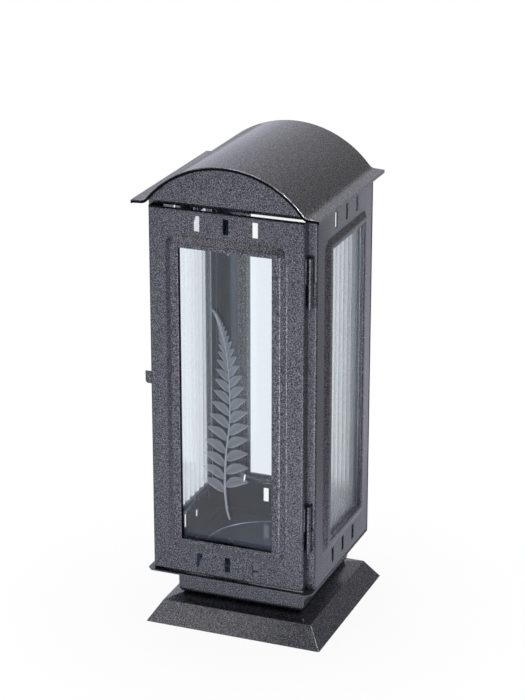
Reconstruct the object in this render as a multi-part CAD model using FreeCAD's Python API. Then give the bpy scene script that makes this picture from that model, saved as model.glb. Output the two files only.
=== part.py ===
import FreeCAD, Part
import math
import os

# Grave lantern of painted sheet steel: a pressed foot, a square neck, a floor tray,
# stamped window walls with glass panes, a barrel roof and a door on two pin hinges.
# Lengths are in millimetres. X is to the right, Y to the back and Z up.
# The pieces are worked out about the middle of the walls. They are saved with the origin on the
# ground under the middle of the whole lantern, which the overhanging roof moves to the front.

os.makedirs("parts", exist_ok=True)

# Stock and fits
sheet = 1.0
pane_thickness = 4.0
overrun = 2.0
seat_gap = 0.1
touch = 0.01

# Foot
foot_side_overhang = 6.4
foot_end_overhang = 10.4
foot_flare = 9.7
foot_bend_height = 14.8
foot_step = 3.0
foot_height = 18.0
foot_fold = 7.0
foot_wall = 1.2
foot_bend = 1.0
foot_shift = 0.9

# Neck pan
neck_side_inset = 12.0
neck_end_inset = 8.0
neck_height = 23.1
neck_low_radius = 4.5
neck_corner_radius = 2.0
neck_fold = 10.0

# Floor tray
floor_side_overhang = 2.4
floor_front_overhang = 2.5
floor_back_overhang = 2.0
floor_shift = 2.0
floor_corner = 3.4
bead_ring_radius = 43.8
bead_radius = 1.2
bead_height = 0.7

# Walls
body_width = 120.0
body_depth = 112.0
wall_height = 276.0
wall_bend = 1.6
wall_fold = 8.5
floor_fold = 7.0
top_fold = 5.0
post_lip = 2.6
post_lip_drop = 1.0

# Stamping of the walls and the door
door_stile = 23.0
side_stile = 24.0
window_rise = 28.2
window_drop = 32.4
field_side_margin = 10.4
field_end_margin = 8.2
field_height = 2.35
field_slope = 4.4
field_corner = 8.0
field_bend = 2.2
flange_depth = 3.2
flange_bend = 1.2
slot_width = 4.2
slot_height = 11.1
slot_pitch = 21.2
slot_count = 3
low_slot_rise = 6.2
high_slot_drop = 20.2
side_shift = 1.4
back_stamp_side = 1.3
back_stamp_rise = 3.4
left_slot_side = -7.6
left_slot_rise = 1.6
slit_width = 1.4
slit_height = 5.0
slit_side = 38.4
slit_rise = 19.6

# Panes and the clips that hold them
pane_side_lap = 2.4
pane_end_lap = 4.6
clip_sheet = 0.8
clip_foot = 2.0
clip_width = 8.0
clip_lap = 1.6
clip_inset = 2.3
point_left = 1.2
point_right = 4.5
point_base = 1.6
point_tip = 3.6

# Door
hinge_margin = 6.4
door_depth = 7.2
door_rise = 0.8
door_drop = 5.6
door_end_fold = 2.4
door_bend = 1.5
door_gap = 0.2

# Front rail
rail_drop = 6.0
rail_fold = 7.0

# Roof
roof_rise = 28.55
crease_inset = 2.0
eave_width = 9.6
eave_drop = 0.5
eave_lip = 2.4
eave_bend = 5.0
roll_height = 2.1
roll_width = 1.8
roll_bend = 0.8
roof_front_overhang = 11.0
roof_back_overhang = 2.0
roof_hole_radius = 0.6
roof_hole_inset = 91.4
roof_hole_side = 4.7
gable_setback = 3.6
gable_fold = 6.0
gable_gap = 1.4

# Hinges
hinge_height = 35.0
low_hinge_rise = 29.2
high_hinge_drop = 66.1
knuckle_radius = 1.8
knuckle_end_gap = 0.3
knuckle_side_gap = 0.3
pin_radius = 0.95
pin_gap = 0.05
leaf_sheet = 0.8
leaf_bite = 0.2
body_leaf_width = 3.4
door_leaf_width = 4.0

# Latch
latch_sheet = 0.8
latch_rise = 141.0
latch_height = 9.0
latch_reach = 4.4
latch_corner = 2.0
latch_leg = 5.6
latch_leg_gap = 0.7
latch_slot_gap = 0.4

# Rivets
rivet_radius = 2.0
rivet_head_radius = 3.4
foot_head_height = 1.4
floor_head_height = 0.6
rivet_gap = 0.05
floor_rivet_inset = 5.4
foot_rivet_inset = 14.0

# Heights
neck_base = foot_height
neck_top = neck_base + neck_height
floor_top = neck_top + sheet
wall_top = floor_top + wall_height
window_low = floor_top + window_rise
window_high = wall_top - window_drop
door_low = floor_top + door_rise
door_high = wall_top - door_drop
gable_low = wall_top + gable_gap

# Planes
half_width = body_width / 2
half_depth = body_depth / 2
back_wall_inner = half_depth - sheet
door_back = -half_depth - door_gap
door_front = door_back - door_depth
door_left = -half_width
door_right = half_width - hinge_margin
door_middle = (door_left + door_right) / 2
door_width = door_right - door_left
hinge_x = door_right + knuckle_side_gap + knuckle_radius
hinge_y = -half_depth - leaf_sheet + leaf_bite - knuckle_radius

# Half widths and depths of the foot and the neck
foot_half = (half_width + foot_side_overhang, half_depth + foot_end_overhang)
neck_half = (half_width - neck_side_inset, half_depth - neck_end_inset)

# Windows, panes and clips, from the front face of their sheet
window_width = door_width - 2 * door_stile
side_window_width = body_depth - 2 * side_stile
pane_face = flange_depth - field_height + seat_gap
clip_face = pane_face + pane_thickness + seat_gap

# Roof section: the eave lies on the outer top edge of the side walls
roof_front = door_front - roof_front_overhang
roof_back = half_depth + roof_back_overhang
eave_slope = eave_drop / eave_width
eave_sheet_rise = sheet * math.hypot(1, eave_slope)
crease_x = half_width - crease_inset
crease_z = wall_top + seat_gap + eave_sheet_rise + crease_inset * eave_slope
roof_radius = (crease_x ** 2 + roof_rise ** 2) / (2 * roof_rise)
arch_z = crease_z + roof_rise - roof_radius
eave_x = crease_x + eave_width

# How far the middle of the whole lantern lies behind the middle of the walls
middle_y = (roof_front + foot_half[1]) / 2

UP = FreeCAD.Vector(0, 0, 1)
ORIGIN = FreeCAD.Vector(0, 0, 0)


def box(x0, x1, y0, y1, z0, z1):
    """A box between two corners."""
    return Part.makeBox(x1 - x0, y1 - y0, z1 - z0, FreeCAD.Vector(x0, y0, z0))


def block(half, z0, z1):
    """A block on the Z axis, from its half width and half depth."""
    return box(-half[0], half[0], -half[1], half[1], z0, z1)


def inside(half, margin):
    """A half width and half depth, less a margin."""
    return (half[0] - margin, half[1] - margin)


def rod(radius, x, y, z0, z1):
    """An upright round bar."""
    return Part.makeCylinder(radius, z1 - z0, FreeCAD.Vector(x, y, z0))


def edges_where(shape, test):
    """The straight edges whose two ends pass a test."""
    found = []
    for edge in shape.Edges:
        ends = [vertex.Point for vertex in edge.Vertexes]
        if len(ends) == 2 and all(test(end) for end in ends):
            found.append(edge)
    return found


def near(a, b):
    """Whether two coordinates are the same."""
    return abs(a - b) < touch


def four_corners(half):
    """The corners of a rectangle round the Z axis."""
    x, y = half
    return [(-x, -y), (x, -y), (x, y), (-x, y)]


def frustum(low_half, low_z, high_half, high_z):
    """A pyramid stump on the Z axis."""
    x, y = low_half
    high_x, high_y = high_half
    stump = Part.makeWedge(-x, low_z, -y, -high_y, -high_x, x, high_z, y, high_y, high_x)
    stump.rotate(ORIGIN, FreeCAD.Vector(1, 0, 0), 90)
    return stump


def rounded_outline(half, z0, z1, radius, y):
    """A rounded upright rectangle in a plane that faces the front."""
    slab = box(-half, half, y, y + sheet, z0, z1)
    across = [e for e in slab.Edges if near(e.BoundBox.YLength, sheet)]
    slab = slab.makeFillet(radius, across)
    front = [f for f in slab.Faces if near(f.BoundBox.YMax, y)]
    return front[0].OuterWire


def raised_block(opening, y):
    """The pressed field as a block that rises towards the front from a plane."""
    half = opening / 2 + field_side_margin
    low = window_low - field_end_margin
    high = window_high + field_end_margin
    root = rounded_outline(half, low, high, field_corner, y)
    top_radius = field_corner - field_slope
    top_half = half - field_slope
    top_low = low + field_slope
    top_high = high - field_slope
    top = rounded_outline(top_half, top_low, top_high, top_radius, y - field_height)
    return Part.makeLoft([root, top], True, True)


def field_creases(shape, opening, y):
    """The edges of a pressed field in a plane that faces the front."""
    half = opening / 2 + field_side_margin + touch
    low = window_low - field_end_margin - touch
    high = window_high + field_end_margin + touch
    return edges_where(shape, lambda p: near(p.y, y) and abs(p.x) < half and low < p.z < high)


def pressed(plate, opening):
    """Presses the field into a sheet whose front face is at y = 0. Its creases are rounded about
    one middle, on the outside of a bend by the sheet more than on the inside."""
    shape = plate.fuse(raised_block(opening, 0)).cut(raised_block(opening, sheet)).removeSplitter()
    outer_bend = field_bend + sheet
    front_creases = ((0, field_bend), (-field_height, outer_bend))
    back_creases = ((sheet, outer_bend), (sheet - field_height, field_bend))
    for y, bend in front_creases + back_creases:
        shape = shape.makeFillet(bend, field_creases(shape, opening, y))
    return shape


def window_flange(opening):
    """The edge turned in round a window, as the block that the window is cut from."""
    half = opening / 2 + sheet
    front = -field_height
    return box(-half, half, front, front + flange_depth, window_low - sheet, window_high + sheet)


def window_rim(shape, opening):
    """The front edges of a window."""
    half = opening / 2 + touch
    low = window_low - touch
    high = window_high + touch
    return edges_where(shape, lambda p: near(p.y, -field_height) and abs(p.x) < half and low < p.z < high)


def window_block(opening):
    """What the window takes out of a stamped sheet."""
    half = opening / 2
    front = -field_height - overrun
    return box(-half, half, front, sheet + overrun, window_low, window_high)


def slot_blocks(low_side=0, low_rise=0):
    """What the vent slots take out: a row under the window, which may be moved, and one above it."""
    blocks = []
    rows = ((low_side, floor_top + low_slot_rise + low_rise), (0, wall_top - high_slot_drop))
    for side, z in rows:
        for index in range(slot_count):
            x = side + (index - (slot_count - 1) / 2) * slot_pitch
            half = slot_width / 2
            blocks.append(box(x - half, x + half, -overrun, sheet + overrun, z, z + slot_height))
    return blocks


def stamped(plate, opening, slots):
    """Presses and pierces a sheet whose front face is at y = 0, about x = 0."""
    shape = pressed(plate, opening).fuse(window_flange(opening)).cut([window_block(opening)] + slots)
    shape = shape.removeSplitter()
    return shape.makeFillet(flange_bend, window_rim(shape, opening))


def channel(x0, x1, depth, z0, z1, bend):
    """A sheet that faces the front with both sides folded back."""
    outer = box(x0, x1, 0, depth, z0, z1)
    inner = box(x0 + sheet, x1 - sheet, sheet, depth + overrun, z0 - overrun, z1 + overrun)
    outer = outer.makeFillet(bend, upright(outer, 0))
    inner = inner.makeFillet(bend - sheet, upright(inner, sheet))
    return outer.cut(inner)


def upright(shape, y):
    """The upright edges in a plane that faces the front."""
    flat = edges_where(shape, lambda p: near(p.y, y))
    return [e for e in flat if near(e.BoundBox.XLength, 0)]


def turned(shape, degrees, x, y):
    """A shape turned about the Z axis and then moved."""
    copy = shape.copy()
    copy.rotate(ORIGIN, UP, degrees)
    copy.translate(FreeCAD.Vector(x, y, 0))
    return copy


def on_right(shape):
    """From the plane that faces the front to the right wall."""
    return turned(shape, 90, half_width, side_shift)


def on_left(shape):
    """The right wall's piece on the left."""
    return on_right(shape).mirror(ORIGIN, FreeCAD.Vector(1, 0, 0))


def on_back(shape):
    """From the plane that faces the front to the back wall."""
    copy = turned(shape, 180, back_stamp_side, half_depth)
    copy.translate(FreeCAD.Vector(0, 0, back_stamp_rise))
    return copy


def on_door(shape):
    """From the plane that faces the front to the door."""
    return turned(shape, 0, door_middle, door_front)


def base_skirt():
    """Foot: a low pyramid top over a steep skirt, with its lower edge folded in. It sits a little
    to the right under the neck."""
    bend_half = inside(foot_half, foot_flare)
    top_half = inside(neck_half, foot_step)
    shape = frustum(foot_half, 0, bend_half, foot_bend_height)
    shape = shape.fuse(frustum(bend_half, foot_bend_height, top_half, foot_height))
    sides = [e for e in shape.Edges if e.BoundBox.ZMax > touch and e.BoundBox.ZMin < foot_height - touch]
    shape = shape.makeFillet(foot_bend, sides)
    bend_z = foot_bend_height - sheet
    inner_half = inside(foot_half, foot_wall)
    inner_bend = inside(bend_half, foot_wall)
    hollow = frustum(inner_half, 0, inner_bend, bend_z)
    hollow = hollow.fuse(frustum(inner_bend, bend_z, top_half, foot_height - sheet))
    fold = block(inner_half, 0, sheet).common(frustum(foot_half, 0, bend_half, foot_bend_height))
    fold = fold.cut(block(inside(inner_half, foot_fold), -overrun, sheet + overrun))
    shape = shape.cut(hollow).fuse(fold)
    shape.translate(FreeCAD.Vector(foot_shift, 0, 0))
    return shape.cut(rivet_holes(foot_rivet_places(), foot_height)).removeSplitter()


def neck_pan():
    """Neck: a pan with rounded lower edges and its rim folded in under the floor."""
    shape = pan_block(neck_half, neck_base, neck_top, neck_corner_radius, neck_low_radius)
    inner_corner = neck_corner_radius - sheet
    inner_low = neck_low_radius - sheet
    inner_half = inside(neck_half, sheet)
    hollow = pan_block(inner_half, neck_base + sheet, neck_top - sheet, inner_corner, inner_low)
    mouth = block(inside(neck_half, neck_fold), neck_top - sheet - overrun, neck_top + overrun)
    shape = shape.cut([hollow, mouth])
    shape = shape.cut(rivet_holes(foot_rivet_places(), neck_base))
    return shape.cut(rivet_holes(floor_rivet_places(), neck_top))


def pan_block(half, z0, z1, corner, low):
    """A block with rounded upright edges and more rounded lower edges."""
    pan = block(half, z0, z1)
    corners = [e for e in pan.Edges if near(e.BoundBox.ZLength, z1 - z0)]
    pan = pan.makeFillet(corner, corners)
    lower = [e for e in pan.Edges if near(e.BoundBox.ZMax, z0)]
    return pan.makeFillet(low, lower)


def chamfered_plate(half, y0, y1, z0, z1, corner):
    """A plate with its four corners cut off."""
    outline = [(half, y0 + corner), (half, y1 - corner), (half - corner, y1), (corner - half, y1)]
    outline += [(-half, y1 - corner), (-half, y0 + corner), (corner - half, y0), (half - corner, y0)]
    points = [FreeCAD.Vector(x, y, z0) for x, y in outline]
    face = Part.Face(Part.makePolygon(points + points[:1]))
    return face.extrude(FreeCAD.Vector(0, 0, z1 - z0))


def floor_plate():
    """Floor: a plate with cut corners, which sits a little to the left, and a bead round the candle."""
    half = half_width + floor_side_overhang
    y0 = door_front - floor_front_overhang
    y1 = half_depth + floor_back_overhang
    shape = chamfered_plate(half, y0, y1, floor_top - sheet, floor_top, floor_corner)
    shape.translate(FreeCAD.Vector(-floor_shift, 0, 0))
    bead_z = floor_top + bead_height - bead_radius
    above = block((half_width, half_depth), floor_top - sheet, floor_top + overrun)
    bead = bead_ring(bead_z).common(above)
    shape = shape.fuse(bead).cut(bead_ring(bead_z - sheet))
    return shape.cut(rivet_holes(floor_rivet_places(), floor_top)).removeSplitter()


def bead_ring(z):
    """The round bar ring that a bead is pressed over."""
    return Part.makeTorus(bead_ring_radius, bead_radius, FreeCAD.Vector(0, 0, z), UP)


def floor_rivet_places():
    """One floor rivet in each corner of the neck's folded rim."""
    return four_corners(inside(neck_half, floor_rivet_inset))


def foot_rivet_places():
    """One foot rivet near each corner of the neck's bottom."""
    return four_corners(inside(neck_half, foot_rivet_inset))


def rivet_holes(places, z):
    """Holes down through the sheet at a height."""
    radius = rivet_radius + rivet_gap
    return [rod(radius, x, y, z - sheet - overrun, z + sheet + overrun) for x, y in places]


def rivets(places, low, high, head):
    """Rivets through a stack of sheets, with a flat head on each side."""
    solids = []
    for x, y in places:
        shank = rod(rivet_radius, x, y, low - head, high + head)
        under = rod(rivet_head_radius, x, y, low - head, low)
        over = rod(rivet_head_radius, x, y, high, high + head)
        solids.append(shank.fuse([under, over]).removeSplitter())
    return Part.makeCompound(solids)


def wall_folds(x0, x1, z0, z1):
    """The folds that stand in from a wall's lower and upper edge."""
    low = box(x0, x1, sheet, floor_fold, z0, z0 + sheet)
    high = box(x0, x1, sheet, top_fold, z1 - sheet, z1)
    return [low, high]


def side_wall(slots):
    """Side wall: folded in at the door post and behind the back wall."""
    x0 = -half_depth - side_shift
    x1 = back_wall_inner - side_shift
    shape = channel(x0, x1, wall_fold, floor_top, wall_top, wall_bend)
    shape = shape.fuse(wall_folds(x0 + sheet, x1 - sheet, floor_top, wall_top)).removeSplitter()
    return stamped(shape, side_window_width, slots)


def left_wall():
    """Left wall, whose door post stands out a little behind the door's free edge."""
    shape = on_left(side_wall(slot_blocks(left_slot_side, left_slot_rise)))
    x0 = -half_width - post_lip
    x1 = -half_width + wall_bend + touch
    lip = box(x0, x1, -half_depth, -half_depth + sheet, floor_top, wall_top - post_lip_drop)
    return shape.fuse(lip).removeSplitter()


def back_wall():
    """Back wall: a flat stamped sheet over the side walls' folds, drawn about its stamping."""
    middle = back_stamp_side
    low = floor_top - back_stamp_rise
    high = wall_top - back_stamp_rise
    plate = box(middle - half_width, middle + half_width, 0, sheet, low, high)
    reach = half_width - wall_fold - seat_gap
    shape = plate.fuse(wall_folds(middle - reach, middle + reach, low, high)).removeSplitter()
    return stamped(shape, window_width, slot_blocks()).cut(corner_slit())


def corner_slit():
    """The slit at a lower corner of the back pressing."""
    low = floor_top + slit_rise
    front = -field_height - overrun
    return box(slit_side, slit_side + slit_width, front, sheet + overrun, low, low + slit_height)


def pane(opening):
    """A pane that lies against the turned-in edge of its window."""
    half = opening / 2 + pane_side_lap
    low = window_low - pane_end_lap
    high = window_high + pane_end_lap
    return box(-half, half, pane_face, pane_face + pane_thickness, low, high)


def clip_root(x0, x1):
    """A clip's foot on the wall just below the raised field, and its step out to the pane's back."""
    high = window_low - field_end_margin
    foot = box(x0, x1, sheet, sheet + clip_sheet, high - clip_foot, high)
    return foot.fuse(box(x0, x1, sheet, clip_face + clip_sheet, high - clip_sheet, high))


def square_clip(x):
    """A clip that laps over the pane's lower edge."""
    x0 = x - clip_width / 2
    x1 = x + clip_width / 2
    low = window_low - field_end_margin - clip_sheet
    high = window_low - pane_end_lap + clip_lap
    tongue = box(x0, x1, clip_face, clip_face + clip_sheet, low, high)
    return clip_root(x0, x1).fuse(tongue).removeSplitter()


def pointed_clip():
    """The middle clip, which ends in a point that shows in the window."""
    low = window_low - field_end_margin - clip_sheet
    base = window_low - point_base
    outline = [(-point_left, low), (point_right, low), (point_right, base)]
    outline += [(0, window_low + point_tip), (-point_left, base)]
    points = [FreeCAD.Vector(x, clip_face, z) for x, z in outline]
    tongue = Part.Face(Part.makePolygon(points + points[:1])).extrude(FreeCAD.Vector(0, clip_sheet, 0))
    return clip_root(-point_left, point_right).fuse(tongue).removeSplitter()


def pane_clips(opening):
    """The clips along the lower edge of a pane, and the same along its upper edge."""
    x = opening / 2 - clip_inset
    lower = [square_clip(-x), pointed_clip(), square_clip(x)]
    middle = FreeCAD.Vector(0, 0, (window_low + window_high) / 2)
    return Part.makeCompound(lower + [clip.mirror(middle, UP) for clip in lower])


def front_rail():
    """Rail across the top of the door opening, behind the wall folds."""
    half = half_width - wall_bend - seat_gap
    y = -half_depth + sheet
    low = wall_top - rail_drop
    high = wall_top - sheet - seat_gap
    web = box(-half, half, y, y + sheet, low, high)
    fold = box(-half, half, y, y + rail_fold, high - sheet, high)
    return web.fuse(fold).removeSplitter()


def arch_end(radius, low):
    """Half the width of an arch of a radius, at a height."""
    return math.sqrt(radius ** 2 - (low - arch_z) ** 2)


def eave_bend_centre():
    """The centre of the hollow bend between arch and eave, as an offset from the arch's centre."""
    rise = crease_z + crease_x * eave_slope - arch_z
    rise = rise + eave_bend * math.hypot(1, eave_slope)
    a = 1 + eave_slope ** 2
    b = rise * eave_slope
    c = rise ** 2 - (roof_radius + eave_bend) ** 2
    x = (b + math.sqrt(b ** 2 - a * c)) / a
    return FreeCAD.Vector(x, 0, rise - x * eave_slope)


def bend_points(radius):
    """Where an arc about the bend's centre leaves the eave, its middle and where it meets the arch."""
    centre = eave_bend_centre()
    to_eave = FreeCAD.Vector(-eave_slope, 0, -1).normalize()
    to_arch = FreeCAD.Vector(-centre.x, 0, -centre.z).normalize()
    halfway = (to_eave + to_arch).normalize()
    arch_centre = FreeCAD.Vector(0, 0, arch_z)
    return [arch_centre + centre + way * radius for way in (to_eave, halfway, to_arch)]


def mirrored(point):
    """A point on the other side of the roof."""
    return FreeCAD.Vector(-point.x, point.y, point.z)


def roof_upper():
    """The outer edges of the roof's cross-section at y = 0, from lip to lip over the arch."""
    tip_z = crease_z - eave_drop
    top = bend_points(eave_bend)
    left_top = [mirrored(p) for p in top]
    crown = FreeCAD.Vector(0, 0, arch_z + roof_radius)
    arcs = [Part.Arc(left_top[2], crown, top[2]), Part.Arc(*top), Part.Arc(*left_top)]
    eave = [top[0], FreeCAD.Vector(eave_x, 0, tip_z), FreeCAD.Vector(eave_x, 0, tip_z - eave_lip)]
    lines = Part.makePolygon(eave).Edges + Part.makePolygon([mirrored(p) for p in eave]).Edges
    return [arc.toShape() for arc in arcs] + lines


def roof_lower(depth):
    """The inner edges of the roof's cross-section at y = 0, a depth of sheet below the outer ones."""
    lip_z = crease_z - eave_drop - eave_lip
    lip_x = eave_x - sheet
    under_z = crease_z - eave_sheet_rise * depth / sheet - (lip_x - crease_x) * eave_slope
    under = bend_points(eave_bend + depth)
    left_under = [mirrored(p) for p in under]
    crown = FreeCAD.Vector(0, 0, arch_z + roof_radius - depth)
    arcs = [Part.Arc(left_under[2], crown, under[2]), Part.Arc(*under), Part.Arc(*left_under)]
    corners = ((eave_x, lip_z), (lip_x, lip_z), (lip_x, under_z))
    eave = [FreeCAD.Vector(x, 0, z) for x, z in corners] + [under[0]]
    lines = Part.makePolygon(eave).Edges + Part.makePolygon([mirrored(p) for p in eave]).Edges
    return [arc.toShape() for arc in arcs] + lines


def roof_length(edges, y0, y1):
    """A cross-section of the roof carried from one end to another."""
    section = Part.Face(Part.Wire(Part.__sortEdges__(edges)))
    section.translate(FreeCAD.Vector(0, y0, 0))
    return section.extrude(FreeCAD.Vector(0, y1 - y0, 0))


def roof_cover():
    """Everything under the roof's outer face, which is rounded at both ends."""
    tip_z = crease_z - eave_drop
    lip = FreeCAD.Vector(eave_x, 0, tip_z - eave_lip)
    shape = roof_length(roof_upper() + [Part.makeLine(lip, mirrored(lip))], roof_front, roof_back)
    for end in (roof_front, roof_back):
        rim = edges_where(shape, lambda p: near(p.y, end) and p.z > tip_z - touch)
        shape = shape.makeFillet(roll_bend, rim)
    return shape


def roof_sheet():
    """Roof: a barrel sheet flared into eaves with a lip turned down, rolled under at both ends."""
    shape = roof_length(roof_upper() + roof_lower(sheet), roof_front, roof_back)
    for low, high in ((roof_front, roof_front + roll_width), (roof_back - roll_width, roof_back)):
        shape = shape.fuse(roof_length(roof_upper() + roof_lower(roll_height), low, high))
    shape = shape.removeSplitter().common(roof_cover())
    hole_y = roof_front + roof_hole_inset
    high = arch_z + roof_radius + overrun
    low = arch_z + roof_radius - sheet - overrun
    return shape.cut(rod(roof_hole_radius, -roof_hole_side, hole_y, low, high))


def arch_block(radius, low, y0, y1):
    """A solid arch segment between two planes."""
    x = arch_end(radius, low)
    point = FreeCAD.Vector
    crown = point(0, y0, arch_z + radius)
    arc = Part.Arc(point(-x, y0, low), crown, point(x, y0, low)).toShape()
    chord = Part.makeLine(point(x, y0, low), point(-x, y0, low))
    return Part.Face(Part.Wire([arc, chord])).extrude(point(0, y1 - y0, 0))


def gable(front, inward):
    """End plate of the roof, with folds that go inward under the arch."""
    radius = roof_radius - sheet - seat_gap
    near_y, far_y = sorted((front, front + inward * gable_fold))
    shape = arch_block(radius, gable_low, near_y, far_y)
    near_y, far_y = sorted((front + inward * sheet, front + inward * (gable_fold + overrun)))
    return shape.cut(arch_block(radius - sheet, gable_low + sheet, near_y, far_y))


def door_panel():
    """Door: a stamped sheet with deep folds at the sides and short ones at the ends."""
    half = door_width / 2
    outer = box(-half, half, 0, door_depth, door_low, door_high)
    hollow_low = door_low + sheet
    hollow_high = door_high - sheet
    side = half - sheet
    inner = box(-side, side, sheet, door_depth + overrun, hollow_low, hollow_high)
    outer = outer.makeFillet(door_bend, edges_where(outer, lambda p: near(p.y, 0)))
    inner = inner.makeFillet(door_bend - sheet, edges_where(inner, lambda p: near(p.y, sheet)))
    beyond = box(-side, side, door_end_fold, door_depth + overrun, door_low - overrun, door_high + overrun)
    shape = stamped(outer.cut([inner, beyond]), window_width, slot_blocks())
    return shape.cut(latch_slot())


def latch_slot():
    """The slot that lets the finger tab out through the door's left fold."""
    half = door_width / 2
    low = floor_top + latch_rise - latch_slot_gap
    high = floor_top + latch_rise + latch_height + latch_slot_gap
    back = sheet + latch_sheet + latch_slot_gap
    return box(-half - overrun, -half + door_bend + latch_slot_gap, sheet, back, low, high)


def door_latch():
    """Latch: a finger tab on a flat spring, whose leg grips the edge of the left wall's fold."""
    outer = -door_width / 2 - latch_reach
    fold_edge = -half_width + wall_fold - door_middle
    leg_x = fold_edge + latch_leg_gap
    low = floor_top + latch_rise
    high = low + latch_height
    plate = box(outer, leg_x + latch_sheet, sheet, sheet + latch_sheet, low, high)
    corner = edges_where(plate, lambda p: near(p.x, outer) and near(p.z, low))
    plate = plate.makeFillet(latch_corner, corner)
    leg_end = door_depth + door_gap + latch_leg
    leg = box(leg_x, leg_x + latch_sheet, sheet, leg_end, low, high)
    return plate.fuse(leg).removeSplitter()


def knuckle(z0, z1):
    """One hinge knuckle with its pin hole."""
    hole = rod(pin_radius + pin_gap, hinge_x, hinge_y, z0 - overrun, z1 + overrun)
    return rod(knuckle_radius, hinge_x, hinge_y, z0, z1), hole


def body_hinge_leaf(low):
    """Lower half of a hinge: a leaf on the post with the knuckle that holds the pin."""
    high = low + (hinge_height - knuckle_end_gap) / 2
    barrel, hole = knuckle(low, high)
    x1 = hinge_x + body_leaf_width
    plate = box(hinge_x, x1, -half_depth - leaf_sheet, -half_depth, low, high)
    return barrel.fuse(plate).cut(hole).removeSplitter()


def door_hinge_leaf(low):
    """Upper half of a hinge: a leaf on the door's edge with the knuckle that turns."""
    high = low + hinge_height
    middle = low + (hinge_height + knuckle_end_gap) / 2
    barrel, hole = knuckle(middle, high)
    y0 = hinge_y - door_leaf_width
    plate = box(door_right, door_right + leaf_sheet, y0, hinge_y, middle, high)
    return barrel.fuse(plate).cut(hole).removeSplitter()


def hinge_pin(low):
    """The pin through both knuckles of a hinge."""
    return rod(pin_radius, hinge_x, hinge_y, low, low + hinge_height)


def save(name, shape):
    """Writes one piece in the lantern's own frame."""
    piece = shape.copy()
    piece.translate(FreeCAD.Vector(0, -middle_y, 0))
    piece.exportStep("parts/" + name + ".step")


save("base_skirt", base_skirt())
save("neck_pan", neck_pan())
save("foot_rivets", rivets(foot_rivet_places(), neck_base - sheet, neck_base + sheet, foot_head_height))
save("floor_plate", floor_plate())
save("floor_rivets", rivets(floor_rivet_places(), neck_top - sheet, floor_top, floor_head_height))

save("right_wall", on_right(side_wall(slot_blocks())))
save("left_wall", left_wall())
save("back_wall", on_back(back_wall()))
save("front_rail", front_rail())

save("right_glass", on_right(pane(side_window_width)))
save("left_glass", on_left(pane(side_window_width)))
save("back_glass", on_back(pane(window_width)))
save("right_pane_clips", on_right(pane_clips(side_window_width)))
save("left_pane_clips", on_left(pane_clips(side_window_width)))
save("back_pane_clips", on_back(pane_clips(window_width)))

save("roof_sheet", roof_sheet())
save("front_gable", gable(roof_front + gable_setback, 1))
save("back_gable", gable(roof_back - gable_setback, -1))

save("door_panel", on_door(door_panel()))
save("door_glass", on_door(pane(window_width)))
save("door_pane_clips", on_door(pane_clips(window_width)))
save("door_latch", on_door(door_latch()))

hinge_lows = {"lower": floor_top + low_hinge_rise, "upper": wall_top - high_hinge_drop}
for place, low in hinge_lows.items():
    save(place + "_hinge_body_leaf", body_hinge_leaf(low))
    save(place + "_hinge_door_leaf", door_hinge_leaf(low))
    save(place + "_hinge_pin", hinge_pin(low))
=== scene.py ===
import math

import bmesh
import bpy
import numpy as np
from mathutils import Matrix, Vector


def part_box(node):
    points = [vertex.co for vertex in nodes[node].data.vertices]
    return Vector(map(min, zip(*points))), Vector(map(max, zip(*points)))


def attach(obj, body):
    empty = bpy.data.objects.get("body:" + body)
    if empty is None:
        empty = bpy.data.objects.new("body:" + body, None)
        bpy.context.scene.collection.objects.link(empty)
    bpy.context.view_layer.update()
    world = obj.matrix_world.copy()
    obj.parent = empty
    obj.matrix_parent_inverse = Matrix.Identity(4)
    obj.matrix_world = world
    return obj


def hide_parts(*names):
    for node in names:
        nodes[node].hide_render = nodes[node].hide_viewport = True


# Grave lantern of sheet steel under hammered silver-black paint, with two clear panes,
# two reeded panes and a fern engraved on the door's pane. Lengths are in metres.
# X is to the right, Y to the back and Z up, with the door on the low Y side.

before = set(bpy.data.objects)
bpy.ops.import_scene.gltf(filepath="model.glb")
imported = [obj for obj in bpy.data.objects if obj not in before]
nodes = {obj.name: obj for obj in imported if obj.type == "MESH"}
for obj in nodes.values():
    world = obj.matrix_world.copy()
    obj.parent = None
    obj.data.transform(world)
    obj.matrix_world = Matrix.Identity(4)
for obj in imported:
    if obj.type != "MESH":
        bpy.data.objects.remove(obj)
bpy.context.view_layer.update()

MM = 0.001

# Camera, at the photograph's angle
CAMERA_PLACE = Vector((0.5722, -1.4485, 0.7744))
CAMERA_TARGET = Vector((-0.0016, 0.0040, 0.1943))
CAMERA_LENS = 120.96
CAMERA_REACH = (0.05, 50.0)

# Hammered paint: linear colours, grains to the metre, and the box inside which it is plain
PAINT_DARK = (0.010, 0.010, 0.012)
PAINT_MIDDLE = (0.085, 0.086, 0.100)
PAINT_LIGHT = (0.400, 0.405, 0.460)
PAINT_INSIDE = (0.066, 0.090, 0.140)
PAINT_EDGE = (0.30, 0.30, 0.33, 1.0)
PAINT_ROUGHNESS = 0.38
COAT_ROUGHNESS = 0.06
FLAKE_GRAIN = 2700.0
HAMMER_CELLS = 1500.0
HAMMER_SHARE = 0.35
HAMMER_DEPTH = 0.030 * MM
FLECK_SHARES = (0.41, 0.51, 0.63)
INSIDE_MIDDLE = (0.0, 3.5 * MM, 180.0 * MM)
INSIDE_HALF = (59.4 * MM, 55.9 * MM, 138.6 * MM)

# Painted shade: a near-black finish under a thin coat on the roof sheet's end faces and on the faces round
# the door's window, for the dark line under the roof's edge and the dark band at the window's edge
EDGE_SHADE = (0.004, 0.004, 0.005)
EDGE_SHADE_COAT = 0.15
END_FACING = 0.93
SIDE_FACING = 0.5
WINDOW_LAP = 5.5 * MM

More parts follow.
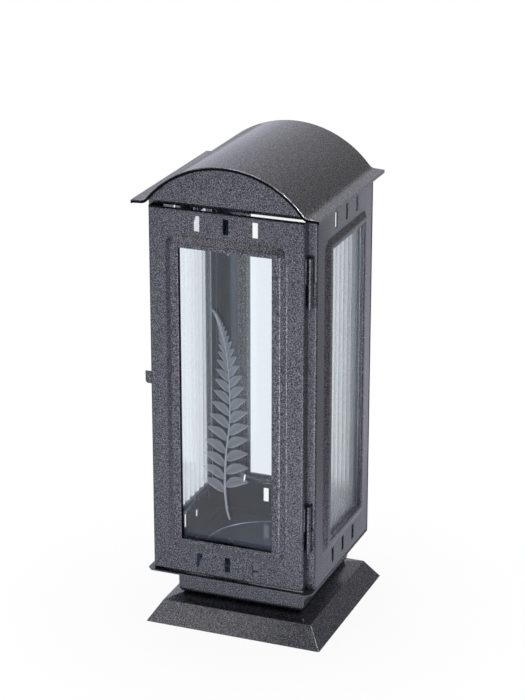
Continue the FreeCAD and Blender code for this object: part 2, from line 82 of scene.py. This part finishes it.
# Rounding of the sheet's edges
EDGE_ROUND = 0.25 * MM
EDGE_SEGMENTS = 2
EDGE_ANGLE = math.radians(40)
SMOOTH_ANGLE = math.radians(30)
FLAT_ANGLE = math.radians(0.2)
MERGE_GAP = 0.002 * MM

# Glass
GLASS_COLOUR = (0.955, 0.968, 0.985, 1.0)
GLASS_TINT = (0.20, 0.70, 0.90, 1.0)
GLASS_DENSITY = 9.0
GLASS_IOR = 1.5
PANE_ARRIS = 0.25 * MM
REED_PITCH = 8.2 * MM
REED_DEPTH = 0.14 * MM
REED_REACH = 0.60
REED_STEPS = 14
REED_SMOOTH_ANGLE = math.radians(45)
REED_ROUGHNESS = 0.10
STREAK_ROUGHNESS = 0.26
STREAK_GRAIN = (900.0, 900.0, 14.0)
STREAK_DEPTH = 0.12 * MM

# Hinge pins
PIN_DARK = (0.16, 0.16, 0.17)
PIN_LIGHT = (0.34, 0.34, 0.35)
PIN_GLOSSY = (0.25, 0.25, 0.25)
PIN_MATT = (0.45, 0.45, 0.45)
PIN_GRAIN = 900.0
PIN_SHARES = (0.3, 0.7)

# Fern sprig on the door's pane: the stem's places are heights from the pane's lower edge and
# sides from its middle, in millimetres
FERN_LIFT = 0.03 * MM
FERN_RELIEF = 0.16 * MM
STEM_PLACES = ((23.4, 1.7), (28.3, 0.1), (34.5, -0.9), (43.0, -1.7), (51.5, -1.9),
               (64.3, -1.4), (75.0, -0.7), (94.2, 1.6), (110.0, 2.2), (125.4, 1.8),
               (145.7, 0.0), (155.6, -2.0), (163.5, -4.0), (172.2, -7.5), (180.1, -12.8))
STEM_WIDTH = 1.5 * MM
STEM_ROWS = 160
STEM_COLUMNS = 7
STEM_RELIEF = 1.4 * FERN_RELIEF
LEAF_FOOT = 43.9 * MM
LEAF_TIP = STEM_PLACES[-1][0] * MM
LEAF_TOP_GAP = 3.0 * MM
LEAF_LENGTH = 17.8 * MM
LEAF_LEAST_LENGTH = 1.2 * MM
LEAF_STEP = 9.9 * MM
LEAF_LEAST_STEP = 1.1 * MM
LEAF_WIDTH_SHARE = 0.185
LEAF_LEAST_WIDTH = 0.2 * MM
LEAF_BOW_SHARE = 0.10
LEAF_ROWS = 25
LEAF_COLUMNS = 9
LENGTH_FALL = 2.2
STEP_FALL = 2.6

# The leaves' two sides: sign, rise of the lowest leaf, its lean in degrees, what the lean gains
# towards the tip, and the power of the gain
LEAF_SIDES = ((-1.0, 0.0, 25.0, 45.0, 2.2), (1.0, 4.6 * MM, 17.0, 62.0, 1.35))

# How densely the engraving is frosted: stem, its one edge, leaf, its upper foot, its lower edge. The extra
# on the stem's one edge and on the leaf's upper foot and lower edge is painted highlight, the light caught
# by the sides of the cut
STEM_FROST = 0.62
STEM_EDGE_HIGHLIGHT = 0.25
LEAF_FROST = 0.34
LEAF_UPPER_HIGHLIGHT = 0.16
LEAF_LOWER_HIGHLIGHT = 0.34
FROST_COLOUR = (0.72, 0.78, 0.88, 1.0)
FROST_ROUGHNESS = 0.55

# Floor
FLOOR_RADIUS = 6.0
FLOOR_SIDES = 96
FLOOR_PAPER = (0.87, 0.89, 0.93, 1.0)
FLOOR_SHADOW_REACH = (0.08, 0.24)
FLOOR_SHADOW_WHITE = (0.93, 1.0)

# Floor as gloss sees it: bearings in degrees from the front towards the right, with their light,
# a plain light near the foot, and how the light falls off
FLOOR_GLOSS = ((-180, 0.36), (-154, 0.40), (-75, 0.40), (-30, 0.88), (-22, 0.84), (-10, 0.66),
               (2, 0.80), (5, 3.2), (20, 3.2), (25, 0.60), (40, 0.36), (75, 0.30),
               (148, 0.44), (156, 0.75), (160, 0.95), (180, 0.40))
FLOOR_TINT = np.array((0.98, 0.99, 1.08))
FLOOR_NEAR = (0.58, 0.60, 0.66, 1.0)
FLOOR_NEAR_REACH = (0.16, 0.34)
FLOOR_FADE_REACH = (0.1, 1.2)
FLOOR_FADE_LIGHT = (1.0, 0.8)

# Room: its plain light, and as gloss sees it from left to right and from front to back
ROOM_LIGHT = (0.97, 0.98, 1.0, 1.0)
ROOM_STRENGTH = 0.42
ROOM_ACROSS = ((0.28, (0.80, 0.80, 0.90)), (0.40, (0.60, 0.59, 0.61)), (0.62, (0.34, 0.325, 0.31)),
               (0.78, (0.24, 0.24, 0.25)))
ROOM_BACK = ((0.0, (0.30, 0.30, 0.30)), (0.5, (1.0, 1.0, 1.0)))
WHITE = (1.0, 1.0, 1.0, 1.0)

# Square lamps: name, place, size, power in watts, and whether gloss alone sees them
LAMP_AIM = Vector((0.0, 0.0, 0.17))
LAMPS = (("pool_lamp", (-0.07, 0.05, 1.25), 0.55, 5.8, False),
         ("front_lamp", (-0.95, -1.40, 1.05), 0.8, 1.7, False),
         ("rim_lamp", (1.10, -0.83, 1.40), 0.35, 24.0, True),
         ("glint_lamp", (0.66, 0.05, 1.35), 0.05, 5.7, True))


# ---- Shader nodes ----

def material(name):
    """A new material with an empty node tree."""
    made = bpy.data.materials.new(name)
    made.use_nodes = True
    made.node_tree.nodes.clear()
    return made


def add(tree, kind, **settings):
    """A node with its plain settings; sockets are set by name after an underscore."""
    node = tree.nodes.new(kind)
    for key, value in settings.items():
        if key.startswith("_"):
            node.inputs[key[1:].replace("_", " ")].default_value = value
        else:
            setattr(node, key, value)
    return node


def ramp(tree, source, stops):
    """A colour ramp over a value, from pairs of place and colour."""
    node = tree.nodes.new("ShaderNodeValToRGB")
    line = node.color_ramp
    while len(line.elements) < len(stops):
        line.elements.new(0.5)
    for element, (place, colour) in zip(line.elements, stops):
        element.position = place
        element.color = (*colour, 1.0)
    tree.links.new(source, node.inputs["Fac"])
    return node.outputs["Color"]


def mapped(tree, source, reach, result=(0.0, 1.0), **settings):
    """A value carried from one range to another and held at the ends."""
    node = add(tree, "ShaderNodeMapRange", **settings)
    for name, value in zip(("From Min", "From Max", "To Min", "To Max"), (*reach, *result)):
        node.inputs[name].default_value = value
    tree.links.new(source, node.inputs["Value"])
    return node.outputs["Result"]


def worked_out(tree, operation, *values):
    """The result of a sum over values, each a socket or a plain number."""
    node = add(tree, "ShaderNodeMath", operation=operation)
    for socket, value in zip(node.inputs, values):
        if isinstance(value, float):
            socket.default_value = value
        else:
            tree.links.new(value, socket)
    return node.outputs[0]


def mixed(tree, share, first, second):
    """Two shaders mixed by the second one's share."""
    node = add(tree, "ShaderNodeMixShader")
    for socket, value in zip(node.inputs, (share, first, second)):
        tree.links.new(value, socket)
    return node.outputs["Shader"]


def within_housing(tree, place):
    """One on faces that lie within the box of the walls and look at its middle, and nothing elsewhere."""
    link = tree.links.new
    offset = add(tree, "ShaderNodeVectorMath", operation="SUBTRACT")
    link(place, offset.inputs[0])
    offset.inputs[1].default_value = INSIDE_MIDDLE
    share = add(tree, "ShaderNodeVectorMath", operation="DIVIDE")
    link(offset.outputs[0], share.inputs[0])
    share.inputs[1].default_value = INSIDE_HALF
    size = add(tree, "ShaderNodeVectorMath", operation="ABSOLUTE")
    link(share.outputs[0], size.inputs[0])
    parts = add(tree, "ShaderNodeSeparateXYZ")
    link(size.outputs[0], parts.inputs[0])
    level = worked_out(tree, "MAXIMUM", parts.outputs["X"], parts.outputs["Y"])
    highest = worked_out(tree, "MAXIMUM", level, parts.outputs["Z"])
    within = worked_out(tree, "LESS_THAN", highest, 1.0)
    facing = add(tree, "ShaderNodeVectorTransform", vector_type="NORMAL",
                 convert_from="WORLD", convert_to="OBJECT")
    link(add(tree, "ShaderNodeNewGeometry").outputs["True Normal"], facing.inputs[0])
    away = add(tree, "ShaderNodeVectorMath", operation="DOT_PRODUCT")
    link(facing.outputs[0], away.inputs[0])
    link(offset.outputs[0], away.inputs[1])
    inward = worked_out(tree, "LESS_THAN", away.outputs["Value"], 0.0)
    return worked_out(tree, "MULTIPLY", within, inward)


# ---- Materials ----

def hammered_paint(name, dark, middle, light, coat=1.0, inside=None):
    """Gloss hammered paint: metal flake of uneven density under clear lacquer, drawn into shallow cells.
    Inside the housing the coat is plain and smooth."""
    made = material(name)
    tree = made.node_tree
    link = tree.links.new
    place = add(tree, "ShaderNodeTexCoord").outputs["Object"]
    grain = add(tree, "ShaderNodeTexNoise", _Scale=FLAKE_GRAIN, _Detail=1.0, _Roughness=0.5)
    cells = add(tree, "ShaderNodeTexNoise", _Scale=HAMMER_CELLS, _Detail=0.0)
    for texture in (grain, cells):
        link(place, texture.inputs["Vector"])
    fleck = add(tree, "ShaderNodeMix", data_type="FLOAT", _Factor=HAMMER_SHARE)
    link(grain.outputs["Fac"], fleck.inputs["A"])
    link(cells.outputs["Fac"], fleck.inputs["B"])
    colour = ramp(tree, fleck.outputs["Result"], tuple(zip(FLECK_SHARES, (dark, middle, light))))
    height = cells.outputs["Fac"]
    if inside is not None:
        within = within_housing(tree, place)
        shade = add(tree, "ShaderNodeMix", data_type="RGBA")
        link(within, shade.inputs["Factor"])
        link(colour, shade.inputs["A"])
        shade.inputs["B"].default_value = (*inside, 1.0)
        colour = shade.outputs["Result"]
        height = worked_out(tree, "MULTIPLY", height, worked_out(tree, "SUBTRACT", 1.0, within))
    bump = add(tree, "ShaderNodeBump", _Strength=1.0, _Distance=HAMMER_DEPTH)
    link(height, bump.inputs["Height"])
    body = add(tree, "ShaderNodeBsdfPrincipled", _Metallic=1.0, _Roughness=PAINT_ROUGHNESS)
    body.inputs["Specular Tint"].default_value = PAINT_EDGE
    body.inputs["Coat Weight"].default_value = coat
    body.inputs["Coat Roughness"].default_value = COAT_ROUGHNESS
    link(colour, body.inputs["Base Color"])
    link(bump.outputs["Normal"], body.inputs["Normal"])
    link(bump.outputs["Normal"], body.inputs["Coat Normal"])
    out = add(tree, "ShaderNodeOutputMaterial")
    link(body.outputs["BSDF"], out.inputs["Surface"])
    return made


def glass(name, roughness, streaks=0.0):
    """Glass that lets lamp light through, with a faint blue-green body. Streaks are the depth of fine
    upright waves in its faces."""
    made = material(name)
    tree = made.node_tree
    link = tree.links.new
    body = add(tree, "ShaderNodeBsdfPrincipled", _Roughness=roughness, _IOR=GLASS_IOR)
    body.inputs["Base Color"].default_value = GLASS_COLOUR
    body.inputs["Transmission Weight"].default_value = 1.0
    if streaks:
        upright = add(tree, "ShaderNodeVectorMath", operation="MULTIPLY")
        link(add(tree, "ShaderNodeTexCoord").outputs["Object"], upright.inputs[0])
        upright.inputs[1].default_value = STREAK_GRAIN
        wave = add(tree, "ShaderNodeTexNoise", _Scale=1.0, _Detail=2.0, _Roughness=0.6)
        link(upright.outputs[0], wave.inputs["Vector"])
        bump = add(tree, "ShaderNodeBump", _Strength=1.0, _Distance=streaks)
        link(wave.outputs["Fac"], bump.inputs["Height"])
        link(bump.outputs["Normal"], body.inputs["Normal"])
    clear = add(tree, "ShaderNodeBsdfTransparent")
    path = add(tree, "ShaderNodeLightPath")
    shell = mixed(tree, path.outputs["Is Shadow Ray"], body.outputs["BSDF"], clear.outputs["BSDF"])
    inside = add(tree, "ShaderNodeVolumeAbsorption", _Color=GLASS_TINT, _Density=GLASS_DENSITY)
    out = add(tree, "ShaderNodeOutputMaterial")
    link(shell, out.inputs["Surface"])
    link(inside.outputs["Volume"], out.inputs["Volume"])
    return made


def frost(name):
    """Engraved glass: a pale matt skin, denser where the attribute says so, with clear glass between. The
    attribute also holds painted highlights on the sides of the cut.
    """
    made = material(name)
    tree = made.node_tree
    frost_lit = add(tree, "ShaderNodeAttribute", attribute_name="frost_with_highlight").outputs["Fac"]
    body = add(tree, "ShaderNodeBsdfPrincipled", _Roughness=FROST_ROUGHNESS)
    body.inputs["Base Color"].default_value = FROST_COLOUR
    clear = add(tree, "ShaderNodeBsdfTransparent")
    out = add(tree, "ShaderNodeOutputMaterial")
    tree.links.new(mixed(tree, frost_lit, clear.outputs["BSDF"], body.outputs["BSDF"]), out.inputs["Surface"])
    return made


def pin_steel():
    """Drawn steel wire with a fine grain."""
    made = material("pin_steel")
    tree = made.node_tree
    link = tree.links.new
    place = add(tree, "ShaderNodeTexCoord").outputs["Object"]
    grain = add(tree, "ShaderNodeTexNoise", _Scale=PIN_GRAIN, _Detail=3.0)
    link(place, grain.inputs["Vector"])
    body = add(tree, "ShaderNodeBsdfPrincipled", _Metallic=0.8)
    for stops, socket in (((PIN_DARK, PIN_LIGHT), "Base Color"), ((PIN_GLOSSY, PIN_MATT), "Roughness")):
        link(ramp(tree, grain.outputs["Fac"], tuple(zip(PIN_SHARES, stops))), body.inputs[socket])
    out = add(tree, "ShaderNodeOutputMaterial")
    link(body.outputs["BSDF"], out.inputs["Surface"])
    return made


# ---- Pieces ----

def new_piece(name, points, faces, finish, body, smooth=True):
    """A mesh piece from an array of points and a list of faces, which rides on a body."""
    mesh = bpy.data.meshes.new(name)
    mesh.from_pydata(points.tolist(), [], faces)
    mesh.materials.append(finish)
    mesh.polygons.foreach_set("use_smooth", np.full(len(mesh.polygons), smooth))
    mesh.update()
    piece = bpy.data.objects.new(name, mesh)
    bpy.context.scene.collection.objects.link(piece)
    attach(piece, body)
    return piece


def grid_faces(rows, columns, closed=False):
    """Quads of a grid of points stored row by row; closed joins the last column to the first."""
    r = np.arange(rows - 1)[:, None] * columns
    c = np.arange(columns if closed else columns - 1)[None, :]
    n = (c + 1) % columns
    quads = np.stack((r + c, r + n, r + n + columns, r + c + columns), axis=-1)
    return quads.reshape(-1, 4)


def cad_box(name):
    """A CAD node's corners at rest as two arrays."""
    low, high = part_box(name)
    return np.array(low), np.array(high)


def reed_profile(low, high, inner_is_high):
    """The reeded pane's outline seen from above. Its outer face is flat. Its inner face is a row of round
    reeds: at a share s across one reed the face lies back by depth * (1 - sqrt(1 - (reach * (2 s - 1))**2)),
    scaled so that the grooves are the full depth."""
    width = high[1] - low[1]
    count = int(round(width / REED_PITCH))
    s = np.linspace(0.0, 1.0, count * REED_STEPS + 1)
    across = (s * count) % 1.0
    across[-1] = 1.0
    hollow = 1.0 - np.sqrt(1.0 - (REED_REACH * (2.0 * across - 1.0)) ** 2)
    hollow = hollow / (1.0 - math.sqrt(1.0 - REED_REACH ** 2)) * REED_DEPTH
    y = low[1] + s * width
    if inner_is_high:
        inner_x, outer_x = high[0] - hollow, low[0]
    else:
        inner_x, outer_x = low[0] + hollow, high[0]
    inner = np.column_stack((inner_x, y))
    outer = np.array(((outer_x, high[1]), (outer_x, low[1])))
    outline = np.concatenate((inner, outer))
    after = np.roll(outline, -1, axis=0)
    area = 0.5 * np.sum(outline[:, 0] * after[:, 1] - after[:, 0] * outline[:, 1])
    return outline if area > 0 else outline[::-1]


def reeded_pane(name, node, finish, inner_is_high):
    """A reeded pane in place of the plain one: its outline from above, anticlockwise, carried from its
    lower edge to its upper one, with both ends closed."""
    low, high = cad_box(node)
    outline = reed_profile(low, high, inner_is_high)
    count = len(outline)
    points = np.concatenate([np.column_stack((outline, np.full(count, z))) for z in (low[2], high[2])])
    walls = grid_faces(2, count, closed=True).tolist()
    ends = [list(range(count - 1, -1, -1)), list(range(count, 2 * count))]
    piece = new_piece(name, points, walls + ends, finish, "housing")
    piece.data.set_sharp_from_angle(angle=REED_SMOOTH_ANGLE)
    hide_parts(node)


def clear_pane(name, node, finish, body):
    """A clear pane in place of the plain one: a plate whose rings of corners step in by the arris
    at the front and the back, so that its ground edges catch the light."""
    low, high = cad_box(node)
    a = PANE_ARRIS
    rings = []
    for y, inset in ((low[1], a), (low[1] + a, 0.0), (high[1] - a, 0.0), (high[1], a)):
        x0, x1, z0, z1 = low[0] + inset, high[0] - inset, low[2] + inset, high[2] - inset
        rings.append(((x0, y, z0), (x1, y, z0), (x1, y, z1), (x0, y, z1)))
    points = np.array(rings).reshape(-1, 3)
    walls = grid_faces(4, 4, closed=True)
    faces = np.concatenate((walls, ((3, 2, 1, 0), (12, 13, 14, 15))))[:, ::-1]
    piece = new_piece(name, points, faces.tolist(), finish, body, smooth=False)
    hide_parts(node)


# ---- Fern ----

def smooth_line(places, count):
    """Points at even steps of parameter along a curve through the places, each span blended as a
    Catmull-Rom cubic of its four nearest places."""
    p = np.array(places, float)
    p = np.concatenate((2 * p[:1] - p[1:2], p, 2 * p[-1:] - p[-2:-1]))
    t = np.linspace(0.0, len(places) - 1 - 1e-9, count)
    i = t.astype(int)
    u = (t - i)[:, None]
    a, b, c, d = p[i], p[i + 1], p[i + 2], p[i + 3]
    second, third = 2 * a - 5 * b + 4 * c - d, 3 * b - a - 3 * c + d
    return 0.5 * (2 * b + (c - a) * u + second * u ** 2 + third * u ** 3)


def stem_grid(stem_x, stem_z, face_y):
    """The stem as a grid of points with their frosting, which is denser along its left edge as a painted
    highlight. At a share s of its length its half width is half of the stem's width times 0.35 + 0.45
    sin(1.9 pi s) + 0.45 (1 - s), where the sine ends at its first zero, and over the last eighth it tapers
    to 0.12 of that. At v from -1 to 1 across, its face stands out by relief * (1 - v**2) times its share of
    the greatest width."""
    s = np.linspace(0.0, 1.0, len(stem_x))
    swell = 0.45 * np.sin(math.pi * np.clip(s * 1.9, 0.0, 1.0))
    taper = np.clip((1.0 - s) * 8.0, 0.12, 1.0)
    half = (STEM_WIDTH / 2 * (0.35 + swell + 0.45 * (1.0 - s)) * taper)[:, None]
    along = np.gradient(np.column_stack((stem_x, stem_z)), axis=0)
    along /= np.linalg.norm(along, axis=1)[:, None]
    v = np.linspace(-1.0, 1.0, STEM_COLUMNS)
    x = stem_x[:, None] + along[:, 1:] * half * v
    z = stem_z[:, None] - along[:, :1] * half * v
    y = face_y - STEM_RELIEF * (1.0 - v ** 2) * half / half.max()
    # Painted highlight: denser frost along the stem's left edge
    frost_lit = np.broadcast_to(STEM_FROST + STEM_EDGE_HIGHLIGHT * np.clip(-v, 0.0, 1.0), x.shape)
    return np.stack((x, y, z), axis=-1), frost_lit


def leaf_grid(sign, length, angle, base_x, base_z, face_y):
    """One leaf as a grid of points with their frosting, which is denser at its upper foot and its lower edge
    as painted highlight. At a share u of its length the blade reaches its width times sin(pi u**0.8)**0.85
    to both sides of a midline, which bows by a share of the length times sin(pi u). At v from -1 to 1
    across, its face stands out by relief * (1 - v**2) * sqrt(sin(pi u))."""
    width = LEAF_WIDTH_SHARE * length + LEAF_LEAST_WIDTH
    u = np.linspace(0.0, 1.0, LEAF_ROWS)[:, None]
    v = np.linspace(-1.0, 1.0, LEAF_COLUMNS)[None, :]
    along = u * length
    across = v * np.sin(math.pi * u ** 0.8) ** 0.85 * width + LEAF_BOW_SHARE * length * np.sin(math.pi * u)
    x = base_x + sign * (along * math.cos(angle) - across * math.sin(angle))
    y = face_y - FERN_RELIEF * (1.0 - v ** 2) * np.sin(math.pi * u) ** 0.5
    z = base_z + along * math.sin(angle) + across * math.cos(angle)
    upper = np.clip(v, 0.0, 1.0) * (1.0 - u)
    lower = np.clip(-v, 0.0, 1.0) ** 3 * (0.5 + 0.5 * u)
    # Painted highlight: denser frost at the leaf's upper foot and lower edge
    frost_lit = LEAF_FROST + LEAF_UPPER_HIGHLIGHT * upper + LEAF_LOWER_HIGHLIGHT * lower
    grid = np.stack((x, y, z), axis=-1)
    return (grid, frost_lit) if sign < 0 else (grid[:, ::-1], frost_lit[:, ::-1])


def build_fern(finish):
    """The fern sprig in shallow relief on the pane's front face: a stem, and leaves to both sides. At a
    share t of the height a leaf's length is length * (1 - t**2.2) and the step to the next one is
    step * (1 - t**2.6), with a least value for each, and the lean gains with a power of t."""
    low, high = cad_box("door_glass")
    middle = (low[0] + high[0]) / 2
    face_y = low[1] - FERN_LIFT
    line = smooth_line(STEM_PLACES, STEM_ROWS) * MM
    stem_z, stem_x = line[:, 0] + low[2], line[:, 1] + middle
    grids = [stem_grid(stem_x, stem_z, face_y)]
    foot_z, tip_z = LEAF_FOOT + low[2], LEAF_TIP + low[2]
    for sign, rise, lean, gain, power in LEAF_SIDES:
        base_z = foot_z + rise
        while base_z < tip_z - LEAF_TOP_GAP:
            share = (base_z - foot_z) / (tip_z - foot_z)
            length = LEAF_LENGTH * (1.0 - share ** LENGTH_FALL) + LEAF_LEAST_LENGTH
            angle = math.radians(lean + gain * share ** power)
            base_x = np.interp(base_z, stem_z, stem_x)
            grids.append(leaf_grid(sign, length, angle, base_x, base_z, face_y))
            base_z += max(LEAF_STEP * (1.0 - share ** STEP_FALL), LEAF_LEAST_STEP)
    starts = np.cumsum([0] + [frost_lit.size for grid, frost_lit in grids])
    points = np.concatenate([grid.reshape(-1, 3) for grid, frost_lit in grids])
    faces = np.concatenate([grid_faces(*frost_lit.shape) + start for (grid, frost_lit), start in zip(grids, starts)])
    frost_lit_all = np.concatenate([frost_lit.reshape(-1) for grid, frost_lit in grids]).astype(np.float32)
    piece = new_piece("door_fern", points, faces.tolist(), finish, "door")
    # The attribute holds the frosting together with its painted highlights
    piece.data.attributes.new("frost_with_highlight", "FLOAT", "POINT").data.foreach_set("value", frost_lit_all)


# ---- Finish of the CAD nodes ----

def repaint(node, finish):
    """Gives a CAD node its finish."""
    mesh = nodes[node].data
    mesh.materials.clear()
    mesh.materials.append(finish)


def end_faces(normals, middles):
    """Faces that look at the front or the back."""
    return np.abs(normals[:, 1]) > END_FACING


def window_faces(normals, middles):
    """Faces round the door's window that look into it."""
    low, high = cad_box("door_glass")
    within_width = (middles[:, 0] > low[0]) & (middles[:, 0] < high[0])
    within_height = (middles[:, 2] > low[2]) & (middles[:, 2] < high[2])
    sideways = (np.abs(normals[:, 1]) < SIDE_FACING) & (middles[:, 1] < low[1] + WINDOW_LAP)
    return within_width & within_height & sideways


def eased(node, finish, body, shade_finish=None, test=None):
    """A merged copy of a CAD node whose sheet edges are slightly rounded, so that they catch the light. A
    second finish, of painted shade, goes on the faces that pass a test."""
    mesh = nodes[node].data.copy()
    mesh.name = node + "_eased"
    work = bmesh.new()
    work.from_mesh(mesh)
    bmesh.ops.remove_doubles(work, verts=work.verts, dist=MERGE_GAP)
    bmesh.ops.dissolve_limit(work, angle_limit=FLAT_ANGLE, verts=work.verts, edges=work.edges)
    work.to_mesh(mesh)
    work.free()
    mesh.materials.clear()
    mesh.materials.append(finish)
    if shade_finish is not None:
        mesh.materials.append(shade_finish)
        normals = np.empty(len(mesh.polygons) * 3)
        middles = np.empty(len(mesh.polygons) * 3)
        mesh.polygons.foreach_get("normal", normals)
        mesh.polygons.foreach_get("center", middles)
        found = test(normals.reshape(-1, 3), middles.reshape(-1, 3))
        mesh.polygons.foreach_set("material_index", found.astype(np.int32))
    mesh.polygons.foreach_set("use_smooth", np.full(len(mesh.polygons), True))
    mesh.set_sharp_from_angle(angle=SMOOTH_ANGLE)
    piece = bpy.data.objects.new(mesh.name, mesh)
    bpy.context.scene.collection.objects.link(piece)
    bevel = piece.modifiers.new("edge_round", "BEVEL")
    bevel.width = EDGE_ROUND
    bevel.segments = EDGE_SEGMENTS
    bevel.limit_method = "ANGLE"
    bevel.angle_limit = EDGE_ANGLE
    bevel.harden_normals = True
    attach(piece, body)
    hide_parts(node)


# ---- Stage, room, lamps and camera ----

def floor_paper():
    """Pale paper. The eye, and what glass lets through, see it white, and near the lantern a little of
    the shadow stays. To gloss its light changes with the bearing and falls off with the distance."""
    made = material("floor_paper")
    tree = made.node_tree
    link = tree.links.new
    path = add(tree, "ShaderNodeLightPath")
    place = add(tree, "ShaderNodeTexCoord").outputs["Object"]
    length = add(tree, "ShaderNodeVectorMath", operation="LENGTH")
    link(place, length.inputs[0])
    far = length.outputs["Value"]
    parts = add(tree, "ShaderNodeSeparateXYZ")
    link(place, parts.inputs[0])
    ahead = worked_out(tree, "MULTIPLY", parts.outputs["Y"], -1.0)
    bearing = worked_out(tree, "ARCTAN2", parts.outputs["X"], ahead)
    turn = mapped(tree, bearing, (-math.pi, math.pi))
    stops = [(0.5 + degrees / 360.0, tuple(light * FLOOR_TINT)) for degrees, light in FLOOR_GLOSS]
    level = add(tree, "ShaderNodeMix", data_type="RGBA")
    link(mapped(tree, far, FLOOR_NEAR_REACH), level.inputs["Factor"])
    level.inputs["A"].default_value = FLOOR_NEAR
    link(ramp(tree, turn, stops), level.inputs["B"])
    shine = add(tree, "ShaderNodeEmission")
    link(level.outputs["Result"], shine.inputs["Color"])
    link(mapped(tree, far, FLOOR_FADE_REACH, FLOOR_FADE_LIGHT), shine.inputs["Strength"])
    paper = add(tree, "ShaderNodeBsdfDiffuse", _Color=FLOOR_PAPER)
    rest = mixed(tree, path.outputs["Is Glossy Ray"], paper.outputs["BSDF"], shine.outputs["Emission"])
    seen = worked_out(tree, "MAXIMUM", path.outputs["Is Camera Ray"], path.outputs["Is Transmission Ray"])
    white = mapped(tree, far, FLOOR_SHADOW_REACH, FLOOR_SHADOW_WHITE, interpolation_type="SMOOTHSTEP")
    glow = add(tree, "ShaderNodeEmission", _Color=WHITE, _Strength=1.0)
    share = worked_out(tree, "MULTIPLY", seen, white)
    out = add(tree, "ShaderNodeOutputMaterial")
    link(mixed(tree, share, rest, glow.outputs["Emission"]), out.inputs["Surface"])
    return made


def build_stage():
    """A pale floor disc under the lantern."""
    turn = np.linspace(0.0, 2 * math.pi, FLOOR_SIDES, endpoint=False)
    points = np.column_stack((np.cos(turn), np.sin(turn), np.zeros(FLOOR_SIDES))) * FLOOR_RADIUS
    mesh = bpy.data.meshes.new("floor")
    mesh.from_pydata(points.tolist(), [], [list(range(FLOOR_SIDES))])
    mesh.materials.append(floor_paper())
    floor = bpy.data.objects.new("floor", mesh)
    bpy.context.scene.collection.objects.link(floor)


def build_world():
    """A white room for the eye and for what glass lets through, and a plain, dimmer room for the rest.
    To gloss it is darker on the right and in front."""
    world = bpy.data.worlds.new("studio")
    bpy.context.scene.world = world
    world.use_nodes = True
    tree = world.node_tree
    tree.nodes.clear()
    link = tree.links.new
    split = add(tree, "ShaderNodeSeparateXYZ")
    link(add(tree, "ShaderNodeTexCoord").outputs["Generated"], split.inputs[0])
    room = add(tree, "ShaderNodeMix", data_type="RGBA", blend_type="MULTIPLY")
    room.inputs["Factor"].default_value = 1.0
    link(ramp(tree, mapped(tree, split.outputs["X"], (-1.0, 1.0)), ROOM_ACROSS), room.inputs["A"])
    link(ramp(tree, split.outputs["Y"], ROOM_BACK), room.inputs["B"])
    plain = add(tree, "ShaderNodeBackground", _Color=ROOM_LIGHT, _Strength=ROOM_STRENGTH)
    gloss = add(tree, "ShaderNodeBackground", _Strength=1.0)
    link(room.outputs["Result"], gloss.inputs["Color"])
    white = add(tree, "ShaderNodeBackground", _Color=WHITE, _Strength=1.0)
    path = add(tree, "ShaderNodeLightPath")
    seen = worked_out(tree, "MAXIMUM", path.outputs["Is Camera Ray"], path.outputs["Is Transmission Ray"])
    rest = mixed(tree, path.outputs["Is Glossy Ray"], plain.outputs[0], gloss.outputs[0])
    out = add(tree, "ShaderNodeOutputWorld")
    link(mixed(tree, seen, rest, white.outputs[0]), out.inputs["Surface"])


def softbox(name, place, size, power, gloss_only):
    """A square lamp that looks at the middle of the lantern."""
    lamp = bpy.data.lights.new(name, "AREA")
    lamp.shape = "SQUARE"
    lamp.size = size
    lamp.energy = power
    holder = bpy.data.objects.new(name, lamp)
    holder.location = place
    holder.rotation_euler = (LAMP_AIM - Vector(place)).to_track_quat("-Z", "Y").to_euler()
    holder.visible_diffuse = not gloss_only
    holder.visible_camera = False
    holder.visible_transmission = False
    bpy.context.scene.collection.objects.link(holder)


def build_camera():
    """The camera at the photograph's place, level and with the photograph's long lens."""
    data = bpy.data.cameras.new("camera")
    data.lens = CAMERA_LENS
    data.clip_start, data.clip_end = CAMERA_REACH
    camera = bpy.data.objects.new("camera", data)
    camera.location = CAMERA_PLACE
    camera.rotation_euler = (CAMERA_TARGET - CAMERA_PLACE).to_track_quat("-Z", "Y").to_euler()
    bpy.context.scene.collection.objects.link(camera)
    bpy.context.scene.camera = camera


# ---- The scene ----

paint = hammered_paint("hammered_paint", PAINT_DARK, PAINT_MIDDLE, PAINT_LIGHT, inside=PAINT_INSIDE)
# Near-black finish that paints shade on edges that lie in shadow
edge_shade_paint = hammered_paint("edge_shade_paint", EDGE_SHADE, EDGE_SHADE, EDGE_SHADE, coat=EDGE_SHADE_COAT)
clear_glass = glass("clear_glass", 0.0)
streaked_glass = glass("streaked_glass", STREAK_ROUGHNESS, STREAK_DEPTH)
reeded_glass = glass("reeded_glass", REED_ROUGHNESS)
frosted = frost("frosted_engraving")
steel = pin_steel()

for node_name in nodes:
    repaint(node_name, steel if node_name.endswith("hinge_pin") else paint)
# The roof's end faces get the near-black finish: painted shade for the dark line under the roof's edge
eased("roof_sheet", paint, "housing", edge_shade_paint, end_faces)
for node_name in ("floor_plate", "front_gable", "back_gable", "base_skirt", "neck_pan",
                  "right_wall", "left_wall", "back_wall", "front_rail"):
    eased(node_name, paint, "housing")
# The faces round the door's window get the near-black finish: painted shade for the dark band at the
# window's edge
eased("door_panel", paint, "door", edge_shade_paint, window_faces)

reeded_pane("right_reeded_pane", "right_glass", streaked_glass, False)
reeded_pane("left_reeded_pane", "left_glass", reeded_glass, True)
clear_pane("back_clear_pane", "back_glass", clear_glass, "housing")
clear_pane("door_clear_pane", "door_glass", clear_glass, "door")
build_fern(frosted)

build_stage()
build_world()
for lamp_values in LAMPS:
    softbox(*lamp_values)
build_camera()

bpy.context.scene.view_settings.view_transform = "Standard"
